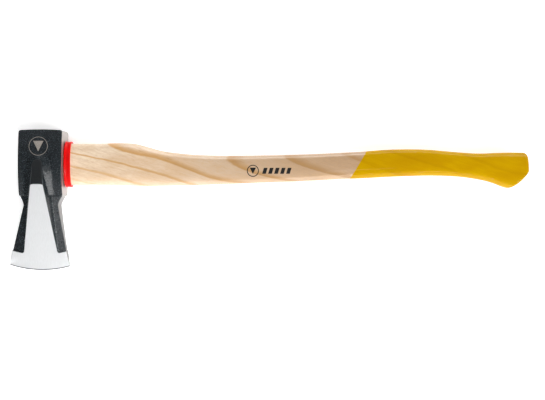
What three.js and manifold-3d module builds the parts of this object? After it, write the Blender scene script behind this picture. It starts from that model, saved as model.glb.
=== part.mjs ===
// Splitting maul: forged head, ash handle, plastic collar and the wedges that lock the head.
// Millimetres. The parts are drawn about the centre of the eye: +X runs along the handle to the
// knob, +Y points out of the striking poll, and Z = 0 is the mirror plane of the whole tool.
// At the end the assembly is moved so that its origin is the bottom centre of its bounding box.

import * as THREE from 'three';
import { mergeVertices } from 'three/addons/utils/BufferGeometryUtils.js';
import Module from 'manifold-3d';

const wasm = await Module();
wasm.setup();

// ---------- driving dimensions ----------

const GAP = 0.3; // fitting clearance between touching pieces

// eye block
const BLOCK_HALF_WIDTH = 29;
const POLL_Y = 46;
const POLL_HALF_THICKNESS = 22.5;
const POLL_CORNER_RADIUS = 3;
const POLL_EDGE_CHAMFER = 2;
const CHEEK_HALF_THICKNESS = 26; // at the eye, the thickest place of the plain cheek
const CHEEK_BULGE = [[22, 25], [2, CHEEK_HALF_THICKNESS], [-20, 24.2]]; // height, half thickness
const LEDGE_Y = -41.5; // lower end of the eye block
const LEDGE_TOE_X = -29.6;
const LEDGE_HEEL_X = 28.4;
const LEDGE_HALF_THICKNESS = 18.5;

// blade
const WAIST_Y = -55;
const WAIST_TOE_X = -24.6;
const WAIST_HEEL_X = 21.5;
const WAIST_ROUNDING = 5; // height of the curve between the ledge and the waist
const FLARE_TOE = [-40, -112]; // the blade's sides bend towards these points
const FLARE_HEEL = [28.5, -104];
const PAD_TOP_Y = -43.5;
const PAD_TOP_HALF_THICKNESS = 16;
const PAD_WAIST_HALF_THICKNESS = 14.5;
const PAD_BOTTOM_Y = -118.5;
const PAD_BOTTOM_HALF_THICKNESS = 5.6;
const PAD_STEP = 1.5; // length of the small slope from a pad down to the ground bit
const EDGE_Y = -142.4; // lowest point of the cutting edge
const EDGE_RADIUS = 139;
const EDGE_CENTRE_X = -1.5;
const EDGE_TOE_X = -45.5;
const EDGE_HEEL_X = 35.3;
const EDGE_HALF_THICKNESS = 0.3;
const HONED_ANGLE = THREE.MathUtils.degToRad(26);

// splitting rib, the same on both cheeks
const RIB_X = -2.5;
const CREST_Y = -28.3;
const CREST_HALF_THICKNESS = 34.5;
const CREST_HALF_WIDTH = 8.3;
const RIB_WIDENING = 0.156; // half width gained per millimetre towards the edge
const RIB_WALL_DRAFT = THREE.MathUtils.degToRad(21);
const RIB_BACK_Y = 0;
const RIB_BACK_HALF_THICKNESS = 29.5;
const RIB_BACK_HALF_WIDTH = 6.3;
const RIB_END_Y = 9; // the rib dies into the cheek here
const RIB_END_HALF_WIDTH = 3.3;
const RIB_RUNOUT = 4; // how far the rib goes on under the ground bit

// Sloping foot beside the rib, on the eye block only: height, half width, half thickness.
const BUTTRESS_SPREAD = 29;
const BUTTRESS_STATIONS = [
  [RIB_END_Y, RIB_END_HALF_WIDTH, 25.5],
  [RIB_BACK_Y, RIB_BACK_HALF_WIDTH, 29.1],
  [CREST_Y, 9.1, 28.5],
  [LEDGE_Y, 10.9, 25.5],
];

// eye and tenon
const EYE_HALF_HEIGHT = 27;
const EYE_HALF_THICKNESS = 14;
const OVAL_POWER = 2.4; // 2 is an ellipse, larger is squarer

// collar
const COLLAR_START_X = BLOCK_HALF_WIDTH + GAP;
const COLLAR_LENGTH = 9.2;
const COLLAR_HALF_HEIGHT = 31.3;
const COLLAR_HALF_THICKNESS = 18.5;
const COLLAR_LEAD_IN = 1; // chamfer on the side of the head
const COLLAR_NECK = 0.9; // how far the collar narrows before its lip
const COLLAR_LIP_LENGTH = 2.5;
const COLLAR_LIP = 0.5; // how far the lip stands out of the neck

// wedges, driven from the toe side of the head
const WOODEN_WEDGE = { depth: 40, height: 48, mouth: 5, tip: 1.6 };
const STEEL_WEDGE = { depth: 24, height: 20, mouth: 3.4, tip: 1 };
const STEEL_WEDGE_OFFSET_Y = 12;

// Handle stations: distance from the eye, height of the middle, full height, full thickness.
const HANDLE_STATIONS = [
  [44, 0, 56.4, 31],
  [75, 0.1, 56.2, 30.5],
  [107, 0, 57.2, 30],
  [124, -0.9, 56.8, 29.5],
  [141, -3.2, 52.6, 28.6],
  [157, -5.3, 48, 27.8],
  [189, -7.3, 42.8, 26.6],
  [222, -7.8, 39.8, 26],
  [254, -7.4, 38.2, 25.6],
  [303, -6.1, 37, 25],
  [351, -4.6, 36.6, 25],
  [400, -2.2, 36, 25],
  [432, -0.6, 36.3, 25.2],
  [464, 1.4, 36.9, 25.4],
  [497, 2.3, 36.1, 25.4],
  [519, 2.2, 35, 25.2],
  [540, 1.1, 33.6, 25],
  [562, -0.5, 33.1, 25],
  [583, -2.6, 34.8, 25.8],
  [594, -3.7, 37, 26.6],
  [605, -5, 40.8, 27.4],
  [615, -6.8, 45, 28],
];
const KNOB_TOE = [625.2, -32.6];
const KNOB_END_X = 651.5;
const KNOB_CUT_SLOPE = 0.32; // the slanted cut starts at this slope and bends upwards
const KNOB_CUT_BEND = 0.02;
const KNOB_TOE_ROUNDING = 3;
const KNOB_TOP_Y = 16;
const KNOB_THICKNESS = 28;
// Rounding of the knob's end: distance before the end, drop of the top, loss of thickness.
const KNOB_END_ROUNDING = [[14, 0, 0], [7, 0.4, 1], [3, 2.2, 2.4], [0.8, 5, 5], [0, 7.5, 8]];

const SHOULDER_STEP = 0.5; // length of the step between the tenon and the shoulder
const GRIP_RINGS = 44;
const OVERCUT = 5; // how far a cutting body runs past the faces it cuts

// ---------- materials ----------

const blackSteel = new THREE.MeshStandardMaterial({ color: 0x2a3034, roughness: 0.5, metalness: 0.4 });
const brightSteel = new THREE.MeshStandardMaterial({ color: 0xc8ccd0, roughness: 0.35, metalness: 1 });
const ash = new THREE.MeshStandardMaterial({ color: 0xe2c49c, roughness: 0.45, metalness: 0 });
const beech = new THREE.MeshStandardMaterial({ color: 0xc79a68, roughness: 0.7, metalness: 0 });
const redPlastic = new THREE.MeshStandardMaterial({ color: 0xd8141a, roughness: 0.35, metalness: 0 });

// ---------- helpers ----------

const v3 = (x, y, z) => new THREE.Vector3(x, y, z);

// Makes a joined-up solid of any closed geometry.
function solidOf(geometry) {
  const bare = geometry.clone();
  bare.deleteAttribute('normal');
  bare.deleteAttribute('uv');
  const merged = mergeVertices(bare, 1e-4);
  const mesh = new wasm.Mesh({
    numProp: 3,
    vertProperties: new Float32Array(merged.attributes.position.array),
    triVerts: new Uint32Array(merged.index.array),
  });
  return new wasm.Manifold(mesh);
}

function geometryOf(solid) {
  const mesh = solid.getMesh();
  const geometry = new THREE.BufferGeometry();
  geometry.setAttribute('position', new THREE.BufferAttribute(new Float32Array(mesh.vertProperties), 3));
  geometry.setIndex(new THREE.BufferAttribute(new Uint32Array(mesh.triVerts), 1));
  geometry.computeVertexNormals();
  return geometry;
}

// Skins a row of equal rings and closes both ends. Seen from the last ring, each ring runs
// anticlockwise.
function loft(rings) {
  const count = rings[0].length;
  const positions = rings.flat().flatMap((p) => [p.x, p.y, p.z]);
  const faces = [];
  for (let r = 0; r + 1 < rings.length; r += 1) {
    for (let i = 0; i < count; i += 1) {
      const a = r * count + i;
      const b = r * count + ((i + 1) % count);
      faces.push(a, b, b + count, a, b + count, a + count);
    }
  }
  const last = (rings.length - 1) * count;
  for (let i = 1; i + 1 < count; i += 1) {
    faces.push(0, i + 1, i);
    faces.push(last, last + i, last + i + 1);
  }
  const geometry = new THREE.BufferGeometry();
  geometry.setAttribute('position', new THREE.Float32BufferAttribute(positions, 3));
  geometry.setIndex(faces);
  return geometry;
}

// Oval ring square to X: a superellipse with its long way along Y.
function ovalRing(x, centreY, halfHeight, halfThickness, sides = 36) {
  const bend = 2 / OVAL_POWER;
  const ring = [];
  for (let i = 0; i < sides; i += 1) {
    const angle = (2 * Math.PI * i) / sides;
    const c = Math.cos(angle);
    const s = Math.sin(angle);
    const y = centreY + halfHeight * Math.sign(c) * Math.abs(c) ** bend;
    const z = halfThickness * Math.sign(s) * Math.abs(s) ** bend;
    ring.push(v3(x, y, z));
  }
  return ring;
}

// Flat wedge driven along +X from the toe face: depth along X, mouth and tip are its thickness.
// A wedge lies along Y, or across it along Z. Grow swells it all round, to cut its own slot.
function wedgeSolid({ depth, height, mouth, tip }, across, centreY, grow) {
  const start = -BLOCK_HALF_WIDTH + GAP - grow;
  const end = start + depth + 2 * grow;
  const long = height / 2 + grow;
  const ringAt = (x, thickness) => {
    const thin = thickness / 2 + grow;
    const halfY = across ? thin : long;
    const halfZ = across ? long : thin;
    return [
      v3(x, centreY - halfY, -halfZ),
      v3(x, centreY + halfY, -halfZ),
      v3(x, centreY + halfY, halfZ),
      v3(x, centreY - halfY, halfZ),
    ];
  };
  return solidOf(loft([ringAt(start, mouth), ringAt(end, tip)]));
}

// ---------- head ----------

const edgeCentreY = EDGE_Y + EDGE_RADIUS;
const edgeYAt = (x) => edgeCentreY - Math.sqrt(EDGE_RADIUS ** 2 - (x - EDGE_CENTRE_X) ** 2);

// Side outline of the head: poll, eye block, waist, flared blade and curved edge.
function headOutline() {
  const w = BLOCK_HALF_WIDTH;
  const r = POLL_CORNER_RADIUS;
  const reach = CREST_HALF_THICKNESS + OVERCUT;
  const waistTopY = WAIST_Y + WAIST_ROUNDING;
  const toeY = edgeYAt(EDGE_TOE_X);
  const heelY = edgeYAt(EDGE_HEEL_X);
  const toeAngle = Math.atan2(toeY - edgeCentreY, EDGE_TOE_X - EDGE_CENTRE_X);
  const heelAngle = Math.atan2(heelY - edgeCentreY, EDGE_HEEL_X - EDGE_CENTRE_X);
  const outline = new THREE.Shape();
  outline.moveTo(w - r, POLL_Y);
  outline.absarc(-w + r, POLL_Y - r, r, Math.PI / 2, Math.PI, false);
  outline.lineTo(LEDGE_TOE_X, LEDGE_Y);
  outline.quadraticCurveTo(WAIST_TOE_X, waistTopY, WAIST_TOE_X, WAIST_Y);
  outline.quadraticCurveTo(...FLARE_TOE, EDGE_TOE_X, toeY);
  outline.absarc(EDGE_CENTRE_X, edgeCentreY, EDGE_RADIUS, toeAngle, heelAngle, false);
  outline.quadraticCurveTo(...FLARE_HEEL, WAIST_HEEL_X, WAIST_Y);
  outline.quadraticCurveTo(WAIST_HEEL_X, waistTopY, LEDGE_HEEL_X, LEDGE_Y);
  outline.lineTo(w, POLL_Y - r);
  outline.absarc(w - r, POLL_Y - r, r, 0, Math.PI / 2, false);
  const settings = { depth: 2 * reach, bevelEnabled: false, curveSegments: 14 };
  return new THREE.ExtrudeGeometry(outline, settings).translate(0, 0, -reach);
}

const crestSlope = (CREST_HALF_THICKNESS - EDGE_HALF_THICKNESS) / (CREST_Y - EDGE_Y);
const wedgeHalfThickness = (y) => EDGE_HALF_THICKNESS + (y - EDGE_Y) * crestSlope;

// End outline of the head without its ribs: poll, bulged cheeks, ledge, pads and ground bit.
function thicknessOutline() {
  const at = (y, halfThickness) => new THREE.Vector2(y, halfThickness);
  const cheek = new THREE.SplineCurve([
    at(POLL_Y - POLL_EDGE_CHAMFER, POLL_HALF_THICKNESS),
    ...CHEEK_BULGE.map(([y, halfThickness]) => at(y, halfThickness)),
    at(LEDGE_Y, LEDGE_HALF_THICKNESS),
  ]);
  const bitTopY = PAD_BOTTOM_Y - PAD_STEP;
  const half = [
    at(POLL_Y, POLL_HALF_THICKNESS - POLL_EDGE_CHAMFER),
    ...cheek.getPoints(12),
    at(PAD_TOP_Y, PAD_TOP_HALF_THICKNESS),
    at(WAIST_Y, PAD_WAIST_HALF_THICKNESS),
    at(PAD_BOTTOM_Y, PAD_BOTTOM_HALF_THICKNESS),
    at(bitTopY, wedgeHalfThickness(bitTopY)),
    at(EDGE_Y, EDGE_HALF_THICKNESS),
  ];
  const mirrored = half.map((p) => at(p.x, -p.y)).reverse();
  const outline = new THREE.Shape([...half, ...mirrored]);
  // The outline is drawn as (Y, Z), so it is turned to run along X.
  const reach = -EDGE_TOE_X + OVERCUT;
  const geometry = new THREE.ExtrudeGeometry(outline, { depth: 2 * reach, bevelEnabled: false });
  const toWorld = new THREE.Matrix4().makeBasis(v3(0, 1, 0), v3(0, 0, 1), v3(1, 0, 0));
  return geometry.applyMatrix4(toWorld).translate(-reach, 0, 0);
}

// One ring of a rib through both cheeks: flat top of half width w at z, spread to the foot.
function ribRing(y, halfWidth, z, footSpread) {
  const foot = halfWidth + footSpread;
  return [
    v3(RIB_X + foot, y, 0),
    v3(RIB_X + halfWidth, y, z),
    v3(RIB_X - halfWidth, y, z),
    v3(RIB_X - foot, y, 0),
    v3(RIB_X - halfWidth, y, -z),
    v3(RIB_X + halfWidth, y, -z),
  ];
}

function rib() {
  const draft = Math.tan(RIB_WALL_DRAFT);
  const bottomY = PAD_BOTTOM_Y - RIB_RUNOUT;
  const bottomHalfWidth = CREST_HALF_WIDTH + (CREST_Y - bottomY) * RIB_WIDENING;
  const ringAt = (y, halfWidth, z) => ribRing(y, halfWidth, z, z * draft);
  return loft([
    ringAt(RIB_END_Y, RIB_END_HALF_WIDTH, CHEEK_HALF_THICKNESS - 1),
    ringAt(RIB_BACK_Y, RIB_BACK_HALF_WIDTH, RIB_BACK_HALF_THICKNESS),
    ringAt(CREST_Y, CREST_HALF_WIDTH, CREST_HALF_THICKNESS),
    ringAt(bottomY, bottomHalfWidth, wedgeHalfThickness(bottomY)),
  ]);
}

// The sloping foot that carries the rib on the eye block.
function buttress() {
  return loft(BUTTRESS_STATIONS.map(([y, halfWidth, z]) => ribRing(y, halfWidth, z, BUTTRESS_SPREAD)));
}

// Body of revolution about the centre of the edge arc; its rim is the honed cutting edge.
// Towards the middle it grows thick enough to stay clear of the ribs.
function edgeGrind() {
  const deepRadius = EDGE_RADIUS / 2;
  const deep = EDGE_HALF_THICKNESS + (EDGE_RADIUS - deepRadius) * Math.tan(HONED_ANGLE);
  const profile = [
    new THREE.Vector2(0, -2 * deep),
    new THREE.Vector2(deepRadius, -deep),
    new THREE.Vector2(EDGE_RADIUS, -EDGE_HALF_THICKNESS),
    new THREE.Vector2(EDGE_RADIUS, EDGE_HALF_THICKNESS),
    new THREE.Vector2(deepRadius, deep),
    new THREE.Vector2(0, 2 * deep),
  ];
  return new THREE.LatheGeometry(profile, 200)
    .rotateX(Math.PI / 2)
    .translate(EDGE_CENTRE_X, edgeCentreY, 0);
}

function eyeHole() {
  const reach = BLOCK_HALF_WIDTH + OVERCUT;
  const ringAt = (x) => ovalRing(x, 0, EYE_HALF_HEIGHT, EYE_HALF_THICKNESS);
  return loft([ringAt(-reach), ringAt(reach)]);
}

function head() {
  const ribbed = solidOf(thicknessOutline()).add(solidOf(rib())).add(solidOf(buttress()));
  const shaped = ribbed.intersect(solidOf(headOutline())).intersect(solidOf(edgeGrind()));
  const bored = shaped.subtract(solidOf(eyeHole()));
  return new THREE.Mesh(geometryOf(bored), blackSteel);
}

// ---------- handle ----------

// Smooth stations between the shoulder and the knob.
function gripRings() {
  const places = new THREE.CatmullRomCurve3(HANDLE_STATIONS.map(([x, y, h]) => v3(x, y, h)));
  const sides = new THREE.CatmullRomCurve3(HANDLE_STATIONS.map(([x, , , t]) => v3(x, t, 0)));
  const rings = [];
  for (let i = 0; i <= GRIP_RINGS; i += 1) {
    const place = places.getPoint(i / GRIP_RINGS);
    const side = sides.getPoint(i / GRIP_RINGS);
    rings.push(ovalRing(place.x, place.y, place.z / 2, side.y / 2));
  }
  return rings;
}

// The knob ends in a slanted cut that bends up from the toe to the rounded end.
function knobRings() {
  const [toeX, toeY] = KNOB_TOE;
  const cutY = (x) => toeY + (x - toeX) * (KNOB_CUT_SLOPE + (x - toeX) * KNOB_CUT_BEND);
  const ringBetween = (x, top, bottom, thickness) => {
    return ovalRing(x, (top + bottom) / 2, (top - bottom) / 2, thickness / 2);
  };
  const rings = [
    ringBetween(toeX - KNOB_TOE_ROUNDING, KNOB_TOP_Y, toeY + 0.8, KNOB_THICKNESS),
    ringBetween(toeX, KNOB_TOP_Y, toeY, KNOB_THICKNESS),
    ringBetween(toeX + KNOB_TOE_ROUNDING, KNOB_TOP_Y, cutY(toeX + KNOB_TOE_ROUNDING), KNOB_THICKNESS),
  ];
  for (const [before, drop, loss] of KNOB_END_ROUNDING) {
    const x = KNOB_END_X - before;
    rings.push(ringBetween(x, KNOB_TOP_Y - drop, cutY(x), KNOB_THICKNESS - loss));
  }
  return rings;
}

function handle() {
  const tenonHeight = EYE_HALF_HEIGHT - GAP;
  const tenonThickness = EYE_HALF_THICKNESS - GAP;
  const [, , shoulderHeight, shoulderThickness] = HANDLE_STATIONS[0];
  const shoulderX = COLLAR_START_X;
  const rings = [
    ovalRing(-BLOCK_HALF_WIDTH + GAP, 0, tenonHeight, tenonThickness),
    ovalRing(shoulderX, 0, tenonHeight, tenonThickness),
    ovalRing(shoulderX + SHOULDER_STEP, 0, shoulderHeight / 2, shoulderThickness / 2),
    ...gripRings(),
    ...knobRings(),
  ];
  let solid = solidOf(loft(rings));
  solid = solid.subtract(wedgeSolid(WOODEN_WEDGE, false, 0, GAP));
  for (const side of [-1, 1]) {
    solid = solid.subtract(wedgeSolid(STEEL_WEDGE, true, side * STEEL_WEDGE_OFFSET_Y, GAP));
  }
  return new THREE.Mesh(geometryOf(solid), ash);
}

// ---------- collar and wedges ----------

function collar() {
  const start = COLLAR_START_X;
  const end = start + COLLAR_LENGTH;
  const [, , shoulderHeight, shoulderThickness] = HANDLE_STATIONS[0];
  const ringAt = (x, inset) => {
    return ovalRing(x, 0, COLLAR_HALF_HEIGHT - inset, COLLAR_HALF_THICKNESS - inset);
  };
  const outer = loft([
    ringAt(start, COLLAR_LEAD_IN),
    ringAt(start + COLLAR_LEAD_IN, 0),
    ringAt(end - COLLAR_LIP_LENGTH, COLLAR_NECK),
    ringAt(end, COLLAR_NECK - COLLAR_LIP),
  ]);
  const innerHeight = shoulderHeight / 2 + GAP;
  const innerThickness = shoulderThickness / 2 + GAP;
  const inner = loft([
    ovalRing(start - OVERCUT, 0, innerHeight, innerThickness),
    ovalRing(end + OVERCUT, 0, innerHeight, innerThickness),
  ]);
  return new THREE.Mesh(geometryOf(solidOf(outer).subtract(solidOf(inner))), redPlastic);
}

function woodenWedge() {
  let solid = wedgeSolid(WOODEN_WEDGE, false, 0, 0);
  for (const side of [-1, 1]) {
    solid = solid.subtract(wedgeSolid(STEEL_WEDGE, true, side * STEEL_WEDGE_OFFSET_Y, GAP));
  }
  return new THREE.Mesh(geometryOf(solid), beech);
}

function steelWedge(side) {
  const solid = wedgeSolid(STEEL_WEDGE, true, side * STEEL_WEDGE_OFFSET_Y, 0);
  return new THREE.Mesh(geometryOf(solid), brightSteel);
}

// ---------- assembly ----------

const pieces = {
  head: head(),
  handle: handle(),
  collar: collar(),
  wooden_wedge: woodenWedge(),
  steel_wedge_1: steelWedge(-1),
  steel_wedge_2: steelWedge(1),
};

const maul = new THREE.Group();
for (const [name, mesh] of Object.entries(pieces)) {
  mesh.name = name;
  maul.add(mesh);
}

const box = new THREE.Box3().setFromObject(maul);
const middle = box.getCenter(new THREE.Vector3());
maul.position.set(-middle.x, -middle.y, -box.min.z);

export default maul;
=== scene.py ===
"""Splitting maul lying flat, seen from straight above.

The head, handle and collar are fine meshes that stand for the CAD solids; the wedges in the eye
are the CAD solids themselves. Shapes are drawn in millimetres about the centre of the eye:
+X runs along the handle to the knob, +Y points out of the poll, Z = 0 is the mirror plane.
"""
import math

import bpy
import numpy as np
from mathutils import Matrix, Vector


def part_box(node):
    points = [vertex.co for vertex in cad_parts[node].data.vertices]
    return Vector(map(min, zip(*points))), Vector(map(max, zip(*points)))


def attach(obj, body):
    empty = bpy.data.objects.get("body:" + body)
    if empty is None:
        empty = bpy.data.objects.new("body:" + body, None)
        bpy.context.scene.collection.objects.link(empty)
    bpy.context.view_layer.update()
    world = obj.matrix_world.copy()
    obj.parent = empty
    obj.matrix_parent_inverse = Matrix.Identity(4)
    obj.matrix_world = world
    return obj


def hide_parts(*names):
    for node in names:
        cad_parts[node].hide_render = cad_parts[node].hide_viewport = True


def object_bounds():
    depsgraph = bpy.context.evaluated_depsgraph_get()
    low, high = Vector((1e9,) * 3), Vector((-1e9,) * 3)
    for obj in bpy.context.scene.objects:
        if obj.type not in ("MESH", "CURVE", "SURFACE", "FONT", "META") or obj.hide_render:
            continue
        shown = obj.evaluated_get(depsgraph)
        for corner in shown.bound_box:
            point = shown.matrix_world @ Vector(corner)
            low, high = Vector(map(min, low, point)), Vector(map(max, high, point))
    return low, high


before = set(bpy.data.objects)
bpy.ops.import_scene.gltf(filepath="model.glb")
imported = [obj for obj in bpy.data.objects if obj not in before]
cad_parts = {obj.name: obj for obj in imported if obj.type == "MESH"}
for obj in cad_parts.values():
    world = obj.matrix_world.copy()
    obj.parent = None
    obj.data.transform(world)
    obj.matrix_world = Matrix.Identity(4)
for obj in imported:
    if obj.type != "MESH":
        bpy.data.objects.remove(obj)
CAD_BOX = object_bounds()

MM = 0.001
COLLAR_LOW, COLLAR_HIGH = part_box("collar")
HEAD_HALF_WIDTH = 29.0
FIT_GAP = 0.3
WEDGE_GAP = 0.2
WEDGE_BEVEL = 0.35
EYE = Vector((
    COLLAR_LOW.x - (HEAD_HALF_WIDTH + FIT_GAP) * MM,
    (COLLAR_LOW.y + COLLAR_HIGH.y) / 2,
    (COLLAR_LOW.z + COLLAR_HIGH.z) / 2,
))

# ---------------------------------------------------------------- head dimensions, mm

POLL_Y = 46.0
POLL_HALF_THICKNESS = 22.5
POLL_CORNER_RADIUS = 3.0
POLL_EDGE_RADIUS = 1.8
POLL_CROWN = 0.9
POLL_CROWN_DEPTH = 26.0
SIDE_LEAN = 0.6
SIDE_EDGE_RADIUS = 1.3
CHEEK_Y = 2.0
CHEEK_HALF_THICKNESS = 26.0
LEDGE_Y = -41.5
LEDGE_HALF_THICKNESS = 18.5
LEDGE_DEPTH = 1.6
WAIST_Y = -55.0
WAIST_TOE_X = -24.6
WAIST_HEEL_X = 21.5
# The sides curve in from the ledge to the waist, then out to the edge, drawn towards these points.
TOE_NECK = (-24.6, -51)
HEEL_NECK = (22.5, -49)
TOE_FLARE = (-40, -112)
HEEL_FLARE = (28.5, -104)
PAD_TOP_HALF_THICKNESS = 14.5
PAD_BOTTOM_Y = -119.9
PAD_BOTTOM_SLOPE = 0.24
PAD_BOTTOM_REACH = 22.0
PAD_BOTTOM_HALF_THICKNESS = 5.6
PAD_SIDE_SLOPE = 0.12
PAD_CORNER_BLEND = 3.8
EDGE_Y = -142.4
EDGE_RADIUS = 139.0
EDGE_CENTRE_X = -1.5
EDGE_TOE_X = -45.5
EDGE_HEEL_X = 35.3
EDGE_HALF_THICKNESS = 0.3
HONED_RISE = 0.7
GRIND_START = 0.9
HONED_WIDTH = 1.5
SIDE_ROUNDING_FADE = 40.0

RIB_X = -2.5
CREST_Y = -28.3
CREST_HALF_THICKNESS = 34.2
CREST_HALF_WIDTH = 8.3
CREST_CROWN = 0.6
CREST_CROWN_REACH = 1.3
CREST_BLEND = 0.5
RIB_WIDENING = 0.156
RIB_WALL_DRAFT = math.radians(21)
RIB_BACK_SLOPE = 0.15
RIB_NARROWING = 0.07
RIB_ROUND_Y = -1.0
RIB_FOOT_BLEND = 1.1
RIB_RIM = 1.5
FACET_WIDTH = 10.4
FACET_SLOPE = 0.52
FACET_NARROWING = 2.2
FACET_NARROWS_FROM_Y = -15.0
FACET_NARROWS_OVER = 20.0
FACET_STEP = 0.3
FACET_BLEND = 0.6
RIDGE_FADES_FROM_Y = -6.0
RIDGE_FADES_OVER = 4.0
FOOT_STARTS_OVER = 3.0
BACK_OVERLAP = 0.6
# A distance that is too far off for any mark to show.
FAR_OFF = 9
# Angle, as a slope, at which the ground face and the back of the rib part at the crest.
CREST_SLOPE = 0.45
HEAD_CREASE = 28.0

# ---------------------------------------------------------------- handle and collar, mm

EYE_HALF_HEIGHT = 27.0
EYE_HALF_THICKNESS = 14.0
SHOULDER_X = HEAD_HALF_WIDTH + FIT_GAP
# Past the head, the tenon widens to the eye's size and then to the whole handle at these distances.
SHOULDER_BEVEL = 0.3
SHOULDER_STEP = 1.2
HANDLE_CREASE = 40.0
OVAL_SIDES = 96
# The power of a superellipse: 2 is an ellipse and more is squarer.
EYE_SQUARENESS = 2.4
HANDLE_SQUARENESS = 2.6
# Each distance in from the end of the tenon, and how far its sides are drawn in there.
TENON_ROUNDING = ((0, 0.8), (0.5, 0.15), (1.4, 0))
COLLAR_START_X = SHOULDER_X + 0.02
COLLAR_LENGTH = 9.2
COLLAR_HALF_HEIGHT = 31.3
COLLAR_HALF_THICKNESS = 18.5
COLLAR_NECK_LENGTH = 0.9
COLLAR_NECK_INSET = 2.4
COLLAR_RIM_RADIUS = 0.9
COLLAR_LIP_RADIUS = 0.5
COLLAR_WAIST = 0.9
COLLAR_WAIST_END = 0.75
COLLAR_LINES = 7
COLLAR_LINE_DEPTH = 0.04
COLLAR_STEPS = 56
COLLAR_SIDES = 120
COLLAR_CREASE = 50.0
COLLAR_BORE_HALF_HEIGHT = 28.2
COLLAR_BORE_HALF_THICKNESS = 15.5
# Each place along the bore, as a share of the collar's length, and how far it opens there.
COLLAR_BORE_FLARE = ((1, 0.5), (0.93, 0.05), (0.07, 0.05), (0, 0.5))
# Distance from the eye, height of the middle, full height, full thickness.
HANDLE_STATIONS = np.array([
    (30, 0, 56.2, 31), (44, 0, 56.4, 31), (75, 0.1, 56.2, 30.5), (107, 0, 57.2, 30),
    (124, -0.9, 56.8, 29.5), (141, -3.2, 52.6, 28.6), (157, -5.3, 48, 27.8),
    (189, -7.3, 42.8, 26.6), (222, -7.8, 39.8, 26), (254, -7.4, 38.2, 25.6),
    (303, -6.1, 37, 25), (351, -4.6, 36.6, 25), (400, -2.2, 36, 25), (432, -0.6, 36.3, 25.2),
    (464, 1.4, 36.9, 25.4), (497, 2.3, 36.1, 25.4), (519, 2.2, 35, 25.2), (540, 1.1, 33.6, 25),
    (562, -0.5, 33.1, 25), (583, -2.6, 34.8, 25.8), (594, -3.7, 37, 26.6), (605, -5, 40.8, 27.4),
    (615, -6.8, 45, 28), (625.2, -8.3, 48.6, 28), (654.3, -13.4, 58.8, 27.4),
])
KNOB_TOE = (624.8, -32.6)
KNOB_CUT_SLOPE = 0.32
KNOB_CUT_BEND = 0.02
KNOB_END_X = 651.5
KNOB_CORNER_RADIUS = 7.0
KNOB_EDGE_RADIUS = 3.0
KNOB_CUT_BLEND = 2.4
KNOB_ROUNDING_STEPS = 14
# The handle's sections are this far apart, and closer together near the knob.
HANDLE_SPACING = 2.0
KNOB_SPACING = 1.0
KNOB_SPACING_FROM_X = 580
DIP_X = 423.9
DIP_SLOPE = 0.6

# ---------------------------------------------------------------- marks and grain, mm

SIGN_CENTRE = (-2.0, 23.4)
SIGN_RADIUS = 12.2
SIGN_LINE = 0.55
SIGN_WEDGE = 14.0
PRINT_CENTRE = (282.0, -9.0)
PRINT_RADIUS = 7.4
PRINT_LINE = 1.2
PRINT_WEDGE = 8.6
PRINT_BARS_X = 294.0
PRINT_BAR_PITCH = 8.0
PRINT_BAR_COUNT = 5
PRINT_BAR_WIDTH = 5.0
PRINT_BAR_HEIGHT = 8.0
PRINT_BAR_LEAN = 0.3
FIBRE_SLANT = 3.1
# Growth rings are cut where X + slant * Y + RING_DEPTH * Z equals their place, with a bend that
# grows as Y squared and a wave along the handle. Each row of RINGS gives the place, slant, bend,
# wave height, soft width and strength of a ring.
RING_DEPTH = 1.5
RING_WANDER = 14.0
RING_RIPPLE = 7.0
RING_WAVE_LENGTH = 126.0
RING_WAVE_START = 129.0
RINGS = (
    (4, 2.8, 0, 0, 10, 0.4), (42, 5.6, 0.07, 0, 16, 0.7), (131, 4.2, 0.05, 0, 12, 0.9),
    (192, 3.2, 0, 7, 26, 1.0), (275, 1.8, -0.05, 0, 24, 1.0), (362, 2.6, -0.033, 0, 30, 1.0),
    (452, 2.9, 0, 3, 20, 0.8), (536, 3.0, 0.02, 0, 16, 0.9), (615, 3.1, 0, 4, 18, 0.8),
    (690, 3.0, 0, 0, 14, 0.8),
)

# ---------------------------------------------------------------- colours, linear

PAINT_DARK = (0.0065, 0.009, 0.011)
PAINT_LIGHT = (0.011, 0.0155, 0.019)
PAINT_SPECK = (0.034, 0.044, 0.050)
PAINT_SHADE_ON_RIB_BACK = (0.003, 0.004, 0.005)
PAINT_RIDGE_SPECKS = (0.06, 0.07, 0.075)
PAINT_FOOT_HIGHLIGHT = (0.12, 0.135, 0.14)
SIGN_COLOUR = (0.42, 0.38, 0.34)
GROUND_DARK = (0.69, 0.695, 0.70)
GROUND_LIGHT = (0.775, 0.785, 0.795)
GROUND_CLOUD = (0.63, 0.645, 0.66)
HONED_COLOUR = (0.05, 0.05, 0.055)
SIDE_DARK = (0.36, 0.35, 0.34)
SIDE_LIGHT = (0.51, 0.50, 0.49)
SIDE_STAIN = (0.36, 0.34, 0.33)
SIDE_OF_BLADE = (0.12, 0.12, 0.12)
WOOD_NEAR_HEAD = (0.94, 0.775, 0.59)
WOOD_NEAR_GRIP = (0.51, 0.33, 0.195)
WOOD_AMBER = (0.70, 0.46, 0.255)
WOOD_FIBRE = (0.62, 0.41, 0.235)
WOOD_FLECK = (0.68, 0.43, 0.22)
RING_NEAR_HEAD = (0.69, 0.355, 0.10)
RING_NEAR_GRIP = (0.43, 0.24, 0.09)
WOOD_PORE = (0.48, 0.25, 0.095)
PRINT_COLOUR = (0.004, 0.004, 0.004)
YELLOW_LIGHT = (0.60, 0.345, 0.0)
YELLOW_DEEP = (0.56, 0.305, 0.0)
YELLOW_STAIN = (0.50, 0.25, 0.0)
YELLOW_RING = (0.42, 0.20, 0.0)
CLEAR_SHEEN = (1.0, 1.0, 1.0)
YELLOW_SHEEN = (1.0, 0.6, 0.0)
BEECH_DARK = (0.36, 0.20, 0.09)
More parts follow.
